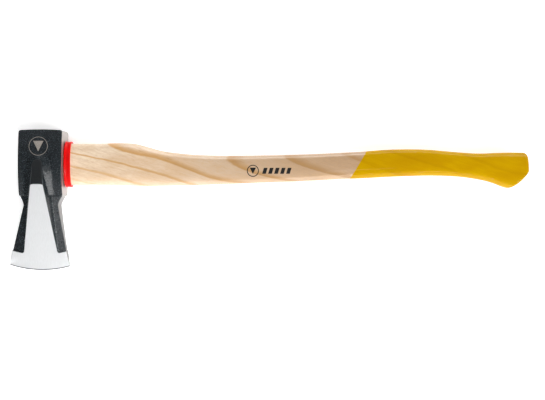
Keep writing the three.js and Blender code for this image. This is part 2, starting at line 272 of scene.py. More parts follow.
BEECH_LIGHT = (0.58, 0.37, 0.20)
WEDGE_DARK = (0.32, 0.32, 0.33)
WEDGE_LIGHT = (0.60, 0.60, 0.61)
RED_DEEP = (0.64, 0.001, 0.001)
RED_LIGHT = (0.80, 0.006, 0.006)

# ---------------------------------------------------------------- stage, m

FLOOR_REACH = 6.0
CAMERA_HEIGHT = 1.40
VIEW_WIDTH = 0.7347
VIEW_SHIFT = 0.0052
VIEW_DROP = 0.048

# ---------------------------------------------------------------- numbers and meshes


def smooth_min(a, b, radius):
    """The lower of two surfaces, with the corner between them rounded."""
    blend = np.clip(0.5 + 0.5 * (b - a) / radius, 0, 1)
    return b + (a - b) * blend - radius * blend * (1 - blend)


def smooth_max(a, b, radius):
    """The higher of two surfaces, with the corner between them rounded."""
    return -smooth_min(-a, -b, radius)


def smooth_step(t):
    """0 below t = 0 and 1 above t = 1, with no corner at either end."""
    t = np.clip(t, 0, 1)
    return t * t * (3 - 2 * t)


def spaced(stops):
    """Positions through (place, steps to the next place) pairs."""
    places = []
    for (start, steps), (end, _) in zip(stops, stops[1:]):
        places += [start + (end - start) * i / steps for i in range(steps)]
    return np.array(places + [stops[-1][0]])


def bezier_x(y, start, control, end):
    """x on a quadratic curve at height y."""
    a = start[1] - 2 * control[1] + end[1]
    b = 2 * (control[1] - start[1])
    c = start[1] - y
    root = np.sqrt(np.maximum(b * b - 4 * a * c, 0))
    t = np.clip((-b - root) / (2 * a), 0, 1)
    return (1 - t) ** 2 * start[0] + 2 * t * (1 - t) * control[0] + t ** 2 * end[0]


def piece(name, points, faces, crease, body="root"):
    """A smooth-shaded mesh from points in millimetres about the eye, riding on a body."""
    mesh = bpy.data.meshes.new(name)
    co = np.asarray(points, float) * MM + np.array(EYE)
    mesh.from_pydata(co.tolist(), [], [list(map(int, f)) for f in faces])
    mesh.validate()
    obj = bpy.data.objects.new(name, mesh)
    bpy.context.scene.collection.objects.link(obj)
    soften(obj, crease)
    if body:
        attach(obj, body)
    return obj


def soften(obj, crease):
    """Smooth shading, apart from edges that turn by more than the crease angle."""
    mesh = obj.data
    mesh.polygons.foreach_set("use_smooth", [True] * len(mesh.polygons))
    mesh.set_sharp_from_angle(angle=math.radians(crease))


def skin(rings, closed=False):
    """Faces that join a row of equal rings, then cap both ends or join the last to the first."""
    count = len(rings[0])
    faces = []
    for r in range(len(rings) if closed else len(rings) - 1):
        near = r * count
        far = (r + 1) % len(rings) * count
        for i in range(count):
            j = (i + 1) % count
            faces.append((near + i, near + j, far + j, far + i))
    if not closed:
        last = (len(rings) - 1) * count
        faces.append(tuple(reversed(range(count))))
        faces.append(tuple(range(last, last + count)))
    return np.concatenate(rings), faces


def cut(obj, cutters, crease):
    """Takes closed cutters out of a piece for good, and throws the cutters away."""
    for cutter in cutters:
        modifier = obj.modifiers.new("cut", "BOOLEAN")
        modifier.operation = "DIFFERENCE"
        modifier.solver = "EXACT"
        modifier.object = cutter
    bpy.context.view_layer.update()
    graph = bpy.context.evaluated_depsgraph_get()
    finished = bpy.data.meshes.new_from_object(obj.evaluated_get(graph))
    obj.modifiers.clear()
    obj.data = finished
    for cutter in cutters:
        bpy.data.objects.remove(cutter)
    soften(obj, crease)


def oval(x, centre_y, half_height, half_thickness, sides=OVAL_SIDES, power=EYE_SQUARENESS):
    """A superellipse ring square to X."""
    angle = np.linspace(0, 2 * math.pi, sides, endpoint=False)
    bend = 2 / power
    y = centre_y + half_height * np.sign(np.cos(angle)) * np.abs(np.cos(angle)) ** bend
    z = half_thickness * np.sign(np.sin(angle)) * np.abs(np.sin(angle)) ** bend
    return np.stack([np.full(sides, x), y, z], axis=1)


# ---------------------------------------------------------------- head


def edge_y(x):
    """The arc of the cutting edge."""
    centre = EDGE_Y + EDGE_RADIUS
    return centre - np.sqrt(EDGE_RADIUS ** 2 - (x - EDGE_CENTRE_X) ** 2)


def corner_inset(y):
    """How far the poll's rounded corners draw the sides in."""
    up = np.clip(y - (POLL_Y - POLL_CORNER_RADIUS), 0, POLL_CORNER_RADIUS)
    return POLL_CORNER_RADIUS - np.sqrt(POLL_CORNER_RADIUS ** 2 - up ** 2)


def toe_side_x(y):
    """The head's outline on the side away from the handle."""
    lean = SIDE_LEAN * np.clip((POLL_Y - y) / (POLL_Y - LEDGE_Y), 0, 1)
    block = -HEAD_HALF_WIDTH - lean + corner_inset(y)
    ledge = (-HEAD_HALF_WIDTH - SIDE_LEAN, LEDGE_Y)
    waist = (WAIST_TOE_X, WAIST_Y)
    neck = bezier_x(y, ledge, TOE_NECK, waist)
    blade = bezier_x(y, waist, TOE_FLARE, (EDGE_TOE_X, edge_y(EDGE_TOE_X)))
    return np.where(y > LEDGE_Y, block, np.where(y > WAIST_Y, neck, blade))


def heel_side_x(y):
    """The head's outline on the handle's side."""
    lean = SIDE_LEAN * np.clip((POLL_Y - y) / (POLL_Y - LEDGE_Y), 0, 1)
    block = HEAD_HALF_WIDTH - lean - corner_inset(y)
    ledge = (HEAD_HALF_WIDTH - SIDE_LEAN, LEDGE_Y)
    waist = (WAIST_HEEL_X, WAIST_Y)
    neck = bezier_x(y, ledge, HEEL_NECK, waist)
    blade = bezier_x(y, waist, HEEL_FLARE, (EDGE_HEEL_X, edge_y(EDGE_HEEL_X)))
    return np.where(y > LEDGE_Y, block, np.where(y > WAIST_Y, neck, blade))


def rib_half_width(y):
    """Half the rib's width, least at its upper end and growing to the bit."""
    below = CREST_HALF_WIDTH + (CREST_Y - y) * RIB_WIDENING
    above = CREST_HALF_WIDTH - (y - CREST_Y) * RIB_NARROWING
    return np.where(y < CREST_Y, below, above)


def grind_plane(y):
    """Half thickness of the ground wedge faces, with the honed edge."""
    up = y - EDGE_Y
    slope = (CREST_HALF_THICKNESS - GRIND_START) / (CREST_Y - EDGE_Y)
    return np.minimum(GRIND_START + up * slope, EDGE_HALF_THICKNESS + up * HONED_RISE)


def rib_distance(x, y):
    """Distance out from the plan outline of the rib and the full-width bit, negative inside."""
    side = np.abs(x - RIB_X) - rib_half_width(y)
    over = np.maximum(y - RIB_ROUND_Y, 0)
    arch = np.hypot(x - RIB_X, over) - rib_half_width(RIB_ROUND_Y)
    rib = np.where(y > RIB_ROUND_Y, arch, side)
    bottom = PAD_BOTTOM_Y + (np.abs(x - RIB_X) - PAD_BOTTOM_REACH) * PAD_BOTTOM_SLOPE
    return smooth_min(rib, y - bottom, PAD_CORNER_BLEND)


def cheek_surface(y):
    """Half thickness of the bulged cheeks, drawn in to the poll and to the ledge."""
    above = np.clip((y - CHEEK_Y) / (POLL_Y - CHEEK_Y), 0, 1)
    below = np.clip((CHEEK_Y - y) / (CHEEK_Y - LEDGE_Y), 0, 1)
    to_poll = (CHEEK_HALF_THICKNESS - POLL_HALF_THICKNESS) * above ** 2
    to_ledge = (CHEEK_HALF_THICKNESS - LEDGE_HALF_THICKNESS) * below ** 2
    return CHEEK_HALF_THICKNESS - to_poll - to_ledge


def pad_surface(x, y):
    """Half thickness of the recessed pads, which fall away to the sides and to the edge."""
    slope = (PAD_TOP_HALF_THICKNESS - PAD_BOTTOM_HALF_THICKNESS) / (WAIST_Y - PAD_BOTTOM_Y)
    pad = PAD_TOP_HALF_THICKNESS + (y - WAIST_Y) * slope
    side_fall = np.maximum(np.abs(x - RIB_X) - rib_half_width(y), 0) * PAD_SIDE_SLOPE
    return np.maximum(pad - side_fall, EDGE_HALF_THICKNESS)


def rib_back_surface(x, y):
    """Half thickness of the rib's sloping back, with its slight crown."""
    back = CREST_HALF_THICKNESS - (y - CREST_Y) * RIB_BACK_SLOPE
    across = np.minimum(np.abs(x - RIB_X) / CREST_HALF_WIDTH, CREST_CROWN_REACH)
    return back + CREST_CROWN * (1 - across ** 4)


def block_surface(y, outside, top):
    """Half thickness of the cheeks with the facets that lean on the rib."""
    cheek = cheek_surface(y)
    narrow = np.clip((y - FACET_NARROWS_FROM_Y) / FACET_NARROWS_OVER, 0, 1) ** 2
    width = FACET_WIDTH - FACET_NARROWING * narrow
    facet = np.minimum(cheek + (width - outside) * FACET_SLOPE, top - FACET_STEP)
    return smooth_max(cheek, facet, FACET_BLEND)


def head_height(x, y, level):
    """Half thickness of the head, and how far inside or off each marked area a point lies.

    Level is y with the curve of the cutting edge taken out, so the grind follows the edge.
    """
    grind = grind_plane(level)
    back = rib_back_surface(x, y)
    top = smooth_min(grind, back, CREST_BLEND)
    out = rib_distance(x, y)
    outside = np.maximum(out, 0)
    wall = top - outside / math.tan(RIB_WALL_DRAFT)

    pad = pad_surface(x, y)
    on_block = smooth_step((y - LEDGE_Y + LEDGE_DEPTH) / LEDGE_DEPTH)
    around = pad + (block_surface(y, outside, top) - pad) * on_block
    height = smooth_max(around, np.where(out > 0, wall, top), RIB_FOOT_BLEND)
    height = np.where(out < -RIB_RIM, top, height)

    # The painted highlight along the foot of the rib is marked below the ledge only, and only on the
    # handle's side.
    off_foot = np.abs(wall - around) * math.tan(RIB_WALL_DRAFT) + FAR_OFF * (x < RIB_X)
    above_foot = np.clip((y - LEDGE_Y) / FOOT_STARTS_OVER + 1, 0, FAR_OFF)
    above_ridge = np.clip((y - RIDGE_FADES_FROM_Y) / RIDGE_FADES_OVER, 0, FAR_OFF)
    areas = {
        "ground": np.minimum((back - grind) / CREST_SLOPE, -out),
        "honed": HONED_WIDTH - (level - EDGE_Y),
        "off_ridge": np.abs(out) + above_ridge,
        "rib_back": np.minimum(BACK_OVERLAP - out, (grind - back) / CREST_SLOPE),
        "off_foot": off_foot + above_foot,
    }
    return height, areas


def edge_rounding(depth, radius):
    """Drop of a rounded edge of that radius, at a depth in from the outline."""
    short = np.clip(radius - depth, 0, radius)
    return radius - np.sqrt(radius ** 2 - short ** 2)


def head_grid():
    """Rows of points over one cheek, in step with the head's edges and ridges.

    Each pair below is a place and the number of steps from it to the next one.
    """
    levels = spaced([
        (POLL_Y, 3), (POLL_Y - 0.35, 5), (POLL_Y - POLL_CORNER_RADIUS, 30), (12, 24), (0, 40),
        (CREST_Y + 1.5, 6), (CREST_Y - 1.5, 18), (LEDGE_Y + 1, 3), (LEDGE_Y, 6),
        (LEDGE_Y - LEDGE_DEPTH, 4), (LEDGE_Y - 4, 110), (PAD_BOTTOM_Y + 4, 16),
        (PAD_BOTTOM_Y - 4, 24), (EDGE_Y + 3, 8), (EDGE_Y, 1),
    ])
    rows = []
    for level in levels:
        follow = smooth_step((PAD_BOTTOM_Y - 4 - level) / (PAD_BOTTOM_Y - 4 - EDGE_Y))
        half = float(rib_half_width(np.array(max(min(level, RIB_ROUND_Y), PAD_BOTTOM_Y))))
        wall = 2.2 if level > PAD_BOTTOM_Y else 1.0
        low, high = RIB_X - half, RIB_X + half
        y = np.array(level)
        for _ in range(4):
            left, right = toe_side_x(y.flat[0]), heel_side_x(y.flat[-1])
            stops = [
                (left, 3), (left + 0.3, 4), (left + 1.4, 12), (low - 6.5, 10), (low - wall, 7),
                (low, 2), (low + 0.8, 16), (high - 0.8, 2), (high, 7), (high + wall, 10),
                (high + 6.5, 12), (right - 1.4, 4), (right - 0.3, 3), (right, 1),
            ]
            x = spaced([(float(place), steps) for place, steps in stops])
            y = level + (edge_y(x) - EDGE_Y) * follow
        rows.append((x, y, np.full_like(x, level)))
    return (np.array(part) for part in zip(*rows))


def head_points():
    """Points over one cheek, and their marked areas."""
    x, y, level = head_grid()
    height, areas = head_height(x, y, level)
    fade = np.clip((level - EDGE_Y) / SIDE_ROUNDING_FADE, 0.1, 1)
    side_depth = np.minimum(x - toe_side_x(y), heel_side_x(y) - x)
    height = height - edge_rounding(np.maximum(side_depth, 0), SIDE_EDGE_RADIUS * fade)
    height = height - edge_rounding(POLL_Y - level, POLL_EDGE_RADIUS)
    height = np.maximum(height, EDGE_HALF_THICKNESS)
    near_poll = smooth_step((y - POLL_Y) / POLL_CROWN_DEPTH + 1)
    crown = POLL_CROWN * (x / HEAD_HALF_WIDTH) ** 2 * near_poll
    return np.stack([x, y - crown, height], axis=-1), areas


def cheek_faces(index, under):
    """Faces over both cheeks, from a grid of point numbers and the step to the lower cheek."""
    faces = []
    for row, next_row in zip(index, index[1:]):
        for a, b, c, d in zip(row, row[1:], next_row[1:], next_row):
            faces.append((a, d, c, b))
            faces.append((under + a, under + b, under + c, under + d))
    return faces


def side_faces(index, under):
    """Faces round the rim of the grid, which join the cheeks."""
    rim = list(index[0, :]) + list(index[1:, -1]) + list(index[-1, -2::-1]) + list(index[-2:0:-1, 0])
    return [(a, b, under + b, under + a) for a, b in zip(rim, rim[1:] + rim[:1])]


def eye_cutter():
    """A closed oval bar, longer than the eye."""
    reach = HEAD_HALF_WIDTH + 4
    ends = [oval(x, 0, EYE_HALF_HEIGHT, EYE_HALF_THICKNESS) for x in (-reach, reach)]
    return piece("cutter", *skin(ends), HEAD_CREASE, body=None)


def head():
    """The forged head, mirrored about Z = 0, with the eye cut through it."""
    grid, areas = head_points()
    top = grid.reshape(-1, 3)
    under = len(top)
    index = np.arange(under).reshape(grid.shape[:2])
    cheeks = cheek_faces(index, under)
    sides = side_faces(index, under)
    points = np.concatenate([top, top * (1, 1, -1)])
    obj = piece("maul_head", points, cheeks + sides, HEAD_CREASE)
    for name, values in areas.items():
        field = obj.data.attributes.new(name, "FLOAT", "POINT")
        field.data.foreach_set("value", np.concatenate([values, values]).ravel())
    obj.data.materials.append(cheek_material())
    obj.data.materials.append(bare_steel_material())
    kinds = [0] * len(cheeks) + [1] * len(sides)
    obj.data.polygons.foreach_set("material_index", kinds)
    cut(obj, [eye_cutter()], HEAD_CREASE)
    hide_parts("head")


# ---------------------------------------------------------------- handle, collar and wedges


def through(stations, at):
    """Smooth values between the rows of a table whose first column is the distance."""
    x, values = stations[:, 0], stations[:, 1:]
    slopes = np.gradient(values, x, axis=0)
    i = np.clip(np.searchsorted(x, at, side="right") - 1, 0, len(x) - 2)
    span = (x[i + 1] - x[i])[:, None]
    t = (at[:, None] - x[i][:, None]) / span
    return ((2 * t ** 3 - 3 * t ** 2 + 1) * values[i] + (t ** 3 - 2 * t ** 2 + t) * span * slopes[i]
            + (3 * t ** 2 - 2 * t ** 3) * values[i + 1] + (t ** 3 - t ** 2) * span * slopes[i + 1])


def handle_rings():
    """Ovals from the shoulder to the rounded end, with the slanting cut across the knob."""
    knob_start = KNOB_END_X - KNOB_CORNER_RADIUS
    turn = np.linspace(0, math.pi / 2, KNOB_ROUNDING_STEPS)
    along = np.concatenate([
        np.arange(SHOULDER_X + SHOULDER_STEP, KNOB_SPACING_FROM_X, HANDLE_SPACING),
        np.arange(KNOB_SPACING_FROM_X, knob_start, KNOB_SPACING),
        knob_start + KNOB_CORNER_RADIUS * np.sin(turn),
    ])
    rings = []
    for x, (middle, height, thickness) in zip(along, through(HANDLE_STATIONS, along)):
        corner = edge_rounding(KNOB_END_X - x, KNOB_CORNER_RADIUS)
        side = edge_rounding(KNOB_END_X - x, KNOB_EDGE_RADIUS)
        top = middle + height / 2 - corner
        bottom = middle - height / 2 + side
        ring = oval(x, (top + bottom) / 2, (top - bottom) / 2, thickness / 2 - side,
                    power=HANDLE_SQUARENESS)
        past = x - KNOB_TOE[0]
        cut_y = KNOB_TOE[1] + past * KNOB_CUT_SLOPE + past * abs(past) * KNOB_CUT_BEND + side / 2
        ring[:, 1] = smooth_max(ring[:, 1], cut_y, KNOB_CUT_BLEND)
        rings.append(ring)
    return rings


def tenon_rings():
    """The tenon through the eye, from its rounded end to the shoulder."""
    height = EYE_HALF_HEIGHT - FIT_GAP
    thickness = EYE_HALF_THICKNESS - FIT_GAP
    end = -HEAD_HALF_WIDTH + FIT_GAP
    rings = [oval(end + depth, 0, height - inset, thickness - inset)
             for depth, inset in TENON_ROUNDING]
    rings.append(oval(SHOULDER_X, 0, height, thickness))
    rings.append(oval(SHOULDER_X + SHOULDER_BEVEL, 0, EYE_HALF_HEIGHT, EYE_HALF_THICKNESS))
    return rings


def handle():
    """The ash handle, in lacquer up to the dip line and in yellow past it."""
    points, faces = skin(tenon_rings() + handle_rings())
    obj = piece("ash_handle", points, faces, HANDLE_CREASE)
    obj.data.materials.append(ash_material("lacquered_ash", 0.8, 0.12, 0.3))
    obj.data.materials.append(ash_material("dipped_ash", 0.24, 0.04, 0.05))
    for face in obj.data.polygons:
        place = (face.center - EYE) / MM
        face.material_index = int(place.x - DIP_SLOPE * place.y > DIP_X)
    slots = [wedge_cutter(node) for node in ("wooden_wedge", "steel_wedge_1", "steel_wedge_2")]
    cut(obj, slots, HANDLE_CREASE)
    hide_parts("handle")


def wedge_cutter(node):
    """A closed block a little larger than a wedge, which opens its slot in the tenon."""
    low, high = (np.array(corner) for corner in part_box(node))
    low = (low - EYE) / MM - WEDGE_GAP
    high = (high - EYE) / MM + WEDGE_GAP
    low[0] -= 1
    points = [(x, y, z) for x in (low[0], high[0]) for y in (low[1], high[1])
              for z in (low[2], high[2])]
    faces = [(0, 1, 3, 2), (4, 6, 7, 5), (0, 4, 5, 1), (2, 3, 7, 6), (0, 2, 6, 4), (1, 5, 7, 3)]
    return piece("cutter", points, faces, HANDLE_CREASE, body=None)


def collar_inset(depth):
    """How far the outside of the collar lies in from its full size, at a distance from the head."""
    along = depth / COLLAR_LENGTH
    if depth > COLLAR_NECK_LENGTH:
        rim = edge_rounding(depth - COLLAR_NECK_LENGTH, COLLAR_RIM_RADIUS)
    else:
        rim = COLLAR_NECK_INSET
    lip = edge_rounding(COLLAR_LENGTH - depth, COLLAR_LIP_RADIUS)
    waist = COLLAR_WAIST * math.sin(math.pi * min(along, COLLAR_WAIST_END)) ** 2
    line = COLLAR_LINE_DEPTH * (0.5 - 0.5 * math.cos(2 * math.pi * COLLAR_LINES * along))
    return rim + lip + waist + line


def collar():
    """Moulded guard ring: rounded rims, fine lines from its mould, and a flared lip and bore."""
    rings = []
    for depth in np.linspace(0, COLLAR_LENGTH, COLLAR_STEPS + 1):
        inset = collar_inset(depth)
        rings.append(oval(COLLAR_START_X + depth, 0, COLLAR_HALF_HEIGHT - inset,
                          COLLAR_HALF_THICKNESS - inset, COLLAR_SIDES))
    for along, flare in COLLAR_BORE_FLARE:
        rings.append(oval(COLLAR_START_X + along * COLLAR_LENGTH, 0, COLLAR_BORE_HALF_HEIGHT + flare,
                          COLLAR_BORE_HALF_THICKNESS + flare, COLLAR_SIDES))
    obj = piece("guard_collar", *skin(rings, closed=True), COLLAR_CREASE)
    obj.data.materials.append(red_plastic_material())
    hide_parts("collar")


def wedges():
    """The CAD wedges keep their shape, and get softened edges and their own materials."""
    finishes = {"wooden_wedge": beech_material(), "steel_wedge_1": wedge_steel_material()}
    finishes["steel_wedge_2"] = finishes["steel_wedge_1"]
    for node, material in finishes.items():
        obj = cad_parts[node]
        obj.material_slots[0].material = material
        bevel = obj.modifiers.new("soft_edges", "BEVEL")
        bevel.width = WEDGE_BEVEL * MM
        bevel.segments = 2
        bevel.limit_method = "ANGLE"


# ---------------------------------------------------------------- materials


class Surface:
    """One Principled material, put together by short calls.

    Textures are placed in millimetres about the eye, and x, y and z are that place.
    """

    def __init__(self, name, **constants):
        self.material = bpy.data.materials.new(name)
        self.material.use_nodes = True
        self.tree = self.material.node_tree
        self.shader = self.tree.nodes["Principled BSDF"]
        for socket, value in constants.items():
            self.shader.inputs[socket.replace("_", " ")].default_value = value
        place = self.node("ShaderNodeTexCoord").outputs["Object"]
        shifted = self.vector("SUBTRACT", place, tuple(EYE))
        self.place = self.vector("MULTIPLY", shifted, (1000, 1000, 1000))
        split = self.node("ShaderNodeSeparateXYZ", {}, Vector=self.place)
        self.x, self.y, self.z = split.outputs

    def node(self, kind, settings=None, **inputs):
        """A new node; an underscore in an input's name stands for a space."""
        made = self.tree.nodes.new(kind)
        for key, value in (settings or {}).items():
            setattr(made, key, value)
        for key, value in inputs.items():
            self.feed(made.inputs[key.replace("_", " ")], value)
        return made

    def feed(self, socket, value):
        """Link a socket to another, or set it to a value."""
        if isinstance(value, bpy.types.NodeSocket):
            self.tree.links.new(value, socket)
        elif value is not None:
            socket.default_value = value

    def vector(self, operation, a, b):
        """One step of arithmetic on vectors."""
        made = self.node("ShaderNodeVectorMath", {"operation": operation})
        self.feed(made.inputs[0], a)
        self.feed(made.inputs[1], b)
        return made.outputs[0]

    def math(self, operation, a, b=None, c=None):
        """One step of arithmetic on numbers."""
        made = self.node("ShaderNodeMath", {"operation": operation})
        for socket, value in zip(made.inputs, (a, b, c)):
            self.feed(socket, value)
        return made.outputs[0]

    def stretch(self, factors):
        """The place, scaled on each axis."""
        made = self.node("ShaderNodeMapping", {"vector_type": "POINT"}, Vector=self.place)
        made.inputs["Scale"].default_value = factors
        return made.outputs[0]

    def noise(self, scale, place=None, detail=4.0, roughness=0.55):
        """Smooth random values, about 0.5 on average."""
        made = self.node("ShaderNodeTexNoise", {}, Vector=place or self.place, Scale=scale,
                         Detail=detail, Roughness=roughness)
        return made.outputs["Fac"]

    def ramp(self, factor, low, high):
        """A colour ramp between two stops, each a position and a colour."""
        made = self.node("ShaderNodeValToRGB", {}, Fac=factor)
        for element, (position, colour) in zip(made.color_ramp.elements, (low, high)):
            element.position = position
            element.color = (*colour, 1.0)
        return made.outputs["Color"]

    def band(self, value, low, high):
        """0 at low and 1 at high, with a smooth step between them."""
        made = self.node("ShaderNodeMapRange", {"clamp": True, "interpolation_type": "SMOOTHSTEP"})
        self.feed(made.inputs["Value"], value)
        made.inputs["From Min"].default_value = low
        made.inputs["From Max"].default_value = high
        return made.outputs["Result"]

    def between(self, data_type, kind, factor, a, b):
        """A where the factor is 0 and b where it is 1."""
        made = self.node("ShaderNodeMix", {"data_type": data_type})
        for name, value in (("Factor_Float", factor), ("A_" + kind, a), ("B_" + kind, b)):
            self.feed(next(s for s in made.inputs if s.identifier == name), value)
        return next(s for s in made.outputs if s.identifier == "Result_" + kind)

    def mix(self, factor, a, b):
        """A colour between two colours."""
        a, b = ((*value, 1.0) if isinstance(value, tuple) else value for value in (a, b))
        return self.between("RGBA", "Color", factor, a, b)

    def blend(self, factor, a, b):
        """A number between two numbers."""
        return self.between("FLOAT", "Float", factor, a, b)

    def blend_directions(self, factor, a, b):
        """A normal between two normals."""
        return self.between("VECTOR", "Vector", factor, a, b)

    def attribute(self, name):
        """The marked area of that name, in millimetres."""
        return self.node("ShaderNodeAttribute", {"attribute_name": name}).outputs["Fac"]

    def bump(self, height, distance, normal=None):
        """Height is 0 to 1 and distance is its full height in millimetres."""
        made = self.node("ShaderNodeBump", {}, Height=height, Distance=distance * MM)
        if normal:
            self.feed(made.inputs["Normal"], normal)
        return made.outputs["Normal"]

    def finish(self, **sockets):
        """Feed the shader's own sockets and hand over the material."""
        for name, value in sockets.items():
            self.feed(self.shader.inputs[name.replace("_", " ")], value)
        return self.material


def wedge_sign(s, centre, radius, line, height):
    """A ring round a filled wedge that points down: 1 on the sign, 0 off it."""
    across = s.math("SUBTRACT", s.x, centre[0])
    up = s.math("SUBTRACT", s.y, centre[1])
    far = s.math("SQRT", s.math("ADD", s.math("MULTIPLY", across, across),
                                s.math("MULTIPLY", up, up)))
    off_line = s.math("ABSOLUTE", s.math("SUBTRACT", far, radius))
    ring = s.band(off_line, line / 2 + 0.15, line / 2 - 0.15)
    # The wedge is half its height to each side at the top and narrows to nothing at the tip.
    side = s.math("MULTIPLY_ADD", s.math("ADD", up, height / 2), 0.5,
                  s.math("MULTIPLY", s.math("ABSOLUTE", across), -1.0))
    inside = s.math("MINIMUM", side, s.math("SUBTRACT", height / 2, up))
    return s.math("MAXIMUM", ring, s.band(inside, -0.1, 0.2))


def upper_side(s):
    """1 on the side of the maul that faces up, 0 on the other."""
    return s.band(s.z, -1, 1)


def forge_paint(s, sign):
    """Speckled black paint, lighter in specks along the rib's edges, with painted shade on the rib's
    back, a painted highlight along the rib's foot and a sign: colour, roughness and normal.
    """
    mottle = s.noise(0.12, detail=5)
    speck = s.noise(0.8, detail=3, roughness=0.7)
    paint = s.mix(mottle, PAINT_DARK, PAINT_LIGHT)
    paint = s.mix(s.band(speck, 0.5, 0.66), paint, PAINT_SPECK)
    # Painted shade: darker paint over the rib's back.
    shaded = s.math("MULTIPLY", s.band(s.attribute("rib_back"), -0.3, 0.6), 0.75)
    paint = s.mix(shaded, paint, PAINT_SHADE_ON_RIB_BACK)
    # Lighter specks along the rib's edges, up to where the ridge fades.
    ridge_specks = s.math("MULTIPLY", s.band(s.attribute("off_ridge"), 0.9, 0.1), s.band(speck, 0.35, 0.6))
    paint = s.mix(ridge_specks, paint, PAINT_RIDGE_SPECKS)
    # Painted highlight: lighter speckled paint along the foot of the rib on the handle's side.
    foot_highlight = s.math("MULTIPLY", s.band(s.attribute("off_foot"), 1.2, 0.3), s.band(speck, 0.45, 0.6))
    paint = s.mix(foot_highlight, paint, PAINT_FOOT_HIGHLIGHT)
    paint = s.mix(s.math("MULTIPLY", sign, 0.9), paint, SIGN_COLOUR)
    rough = s.math("MULTIPLY_ADD", speck, 0.22, 0.14)
    rough = s.math("MULTIPLY_ADD", shaded, 0.22, rough)
    return paint, rough, s.bump(s.noise(1.2, detail=3), 0.2, s.bump(mottle, 0.5))


def ground_steel(s):
    """Bright ground steel, dark where it is honed: colour, roughness and normal."""
    streaks = s.noise(1.0, s.stretch((2.2, 0.035, 0.6)), detail=3)
    steel = s.ramp(streaks, (0.3, GROUND_DARK), (0.7, GROUND_LIGHT))
    cloud = s.math("MULTIPLY", s.noise(0.05, detail=2), 0.4)
    steel = s.mix(cloud, steel, GROUND_CLOUD)
    steel = s.mix(s.band(s.attribute("honed"), -0.1, 0.25), steel, HONED_COLOUR)
    return steel, s.math("MULTIPLY_ADD", streaks, 0.15, 0.33), s.bump(streaks, 0.012)


def cheek_material():
    """Black forge paint, with the wedge faces ground bright and a sign on one cheek."""
    s = Surface("black_paint_and_ground_steel", Specular_IOR_Level=0.42)
    ragged = s.math("MULTIPLY_ADD", s.noise(0.9), 0.5, -0.25)
    bright = s.band(s.math("ADD", s.attribute("ground"), ragged), -0.12, 0.12)
    sign = wedge_sign(s, SIGN_CENTRE, SIGN_RADIUS, SIGN_LINE, SIGN_WEDGE)
    sign = s.math("MULTIPLY", sign, upper_side(s))
    paint, rough_paint, forged = forge_paint(s, sign)
    steel, rough_steel, brushed = ground_steel(s)
    metal = s.math("MAXIMUM", s.math("MULTIPLY", bright, 0.85), s.math("MULTIPLY", sign, 0.3))
    return s.finish(Base_Color=s.mix(bright, paint, steel), Metallic=metal,
                    Roughness=s.blend(bright, rough_paint, rough_steel),
                    Normal=s.blend_directions(bright, forged, brushed))


def bare_steel_material():
    """Belt-ground sides and poll: pale warm grey with lines round the head, darker on the blade."""
    s = Surface("linished_steel", Metallic=0.7)
    lines = s.noise(1.0, s.stretch((0.5, 0.05, 2.6)), detail=3)
    stain = s.noise(0.08, detail=4)
    colour = s.ramp(lines, (0.3, SIDE_DARK), (0.75, SIDE_LIGHT))
    colour = s.mix(s.band(stain, 0.55, 0.8), colour, SIDE_STAIN)
    blade = s.math("MULTIPLY", s.band(s.y, -38, -56), 0.75)
    colour = s.mix(blade, colour, SIDE_OF_BLADE)
    rough = s.math("MULTIPLY_ADD", lines, 0.2, 0.34)
    return s.finish(Base_Color=colour, Roughness=rough, Normal=s.bump(lines, 0.02))


def ring_waver(s):
    """How far the growth rings wander and ripple, in millimetres."""
    wander = s.math("SUBTRACT", s.noise(0.012, detail=2), 0.5)
    ripple = s.math("SUBTRACT", s.noise(0.07, detail=3), 0.5)
    return s.math("MULTIPLY_ADD", wander, RING_WANDER, s.math("MULTIPLY", ripple, RING_RIPPLE))


def ring_depth(s, waver, slant, bend=0.0, wave=0.0):
    """Distance across growth rings that slant, bend and wave."""
    depth = s.math("MULTIPLY_ADD", s.y, slant, s.x)
    depth = s.math("MULTIPLY_ADD", s.math("MULTIPLY", s.y, s.y), bend, depth)
    turn = s.math("MULTIPLY", s.math("SUBTRACT", s.x, RING_WAVE_START), math.tau / RING_WAVE_LENGTH)
    depth = s.math("MULTIPLY_ADD", s.math("SINE", turn), -wave, depth)
    depth = s.math("MULTIPLY_ADD", s.z, RING_DEPTH, depth)
    return s.math("ADD", waver, depth)


def growth_rings(s, waver):
    """Dark early wood: 1 at the sharp side of each ring, fading out on the other side."""
    rings = None
    for place, slant, bend, wave, width, strength in RINGS:
        past = s.math("SUBTRACT", ring_depth(s, waver, slant, bend, wave), place)
        ring = s.math("MULTIPLY", s.band(past, -5, 0), s.band(past, width, 2))
        ring = s.math("MULTIPLY", ring, strength)
        rings = ring if rings is None else s.math("MAXIMUM", rings, ring)
    return rings


def print_bars(s):
    """A row of slanting bars after the printed sign: 1 on a bar, 0 off it."""
    up = s.math("SUBTRACT", s.y, PRINT_CENTRE[1])
    leaning = s.math("MULTIPLY_ADD", up, -PRINT_BAR_LEAN, s.x)
    half_pitch = PRINT_BAR_PITCH / 2
    step = s.math("PINGPONG", s.math("SUBTRACT", leaning, PRINT_BARS_X), half_pitch)
    bar_edge = half_pitch - PRINT_BAR_WIDTH / 2
    bars = s.band(step, bar_edge - 0.2, bar_edge + 0.2)
    half_row = half_pitch * PRINT_BAR_COUNT
    along = s.math("ABSOLUTE", s.math("SUBTRACT", leaning, PRINT_BARS_X + half_row))
    bars = s.math("MULTIPLY", bars, s.band(along, half_row + 0.1, half_row - 0.1))
    half_height = PRINT_BAR_HEIGHT / 2
    return s.math("MULTIPLY", bars, s.band(s.math("ABSOLUTE", up), half_height + 0.2, half_height - 0.2))


def handle_print(s):
    """Black print on the upper side of the handle: a ringed wedge and the bars."""
    sign = wedge_sign(s, PRINT_CENTRE, PRINT_RADIUS, PRINT_LINE, PRINT_WEDGE)
    return s.math("MULTIPLY", s.math("MAXIMUM", sign, print_bars(s)), upper_side(s))


